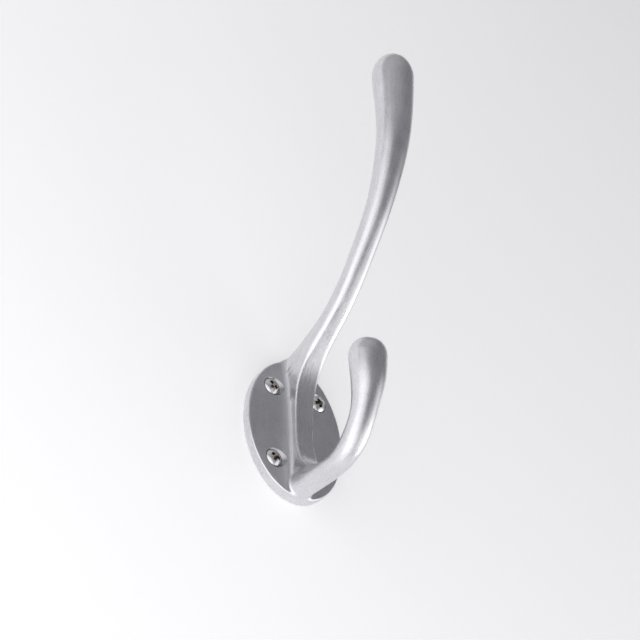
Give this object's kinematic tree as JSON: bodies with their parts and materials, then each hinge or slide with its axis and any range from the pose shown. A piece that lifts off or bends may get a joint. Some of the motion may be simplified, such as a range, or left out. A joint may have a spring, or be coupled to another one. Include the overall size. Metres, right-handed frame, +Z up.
{
  "type": "double wall hook",
  "caption": "One-piece cast hat and coat hook: a long bulb-ended upper arm and a short curled lower arm on an oval plate, screwed to a wall.",
  "frame": {"origin": "middle of the back plate's rear face, which lies on the wall", "axes": "+X to the right of somebody facing the hook, +Y into the wall, +Z up; the arms stand out towards -Y"},
  "size_m": [0.0404, 0.0995, 0.158],
  "materials": {
    "cast_aluminium": "satin, finely brushed along the arms",
    "screw_steel": "polished, bright plated"
  },
  "bodies": {
    "root": {"hook_casting": "cast_aluminium", "screw_upper_left": "screw_steel", "screw_upper_right": "screw_steel", "screw_lower_left": "screw_steel", "screw_lower_right": "screw_steel"}
  },
  "joints": []
}
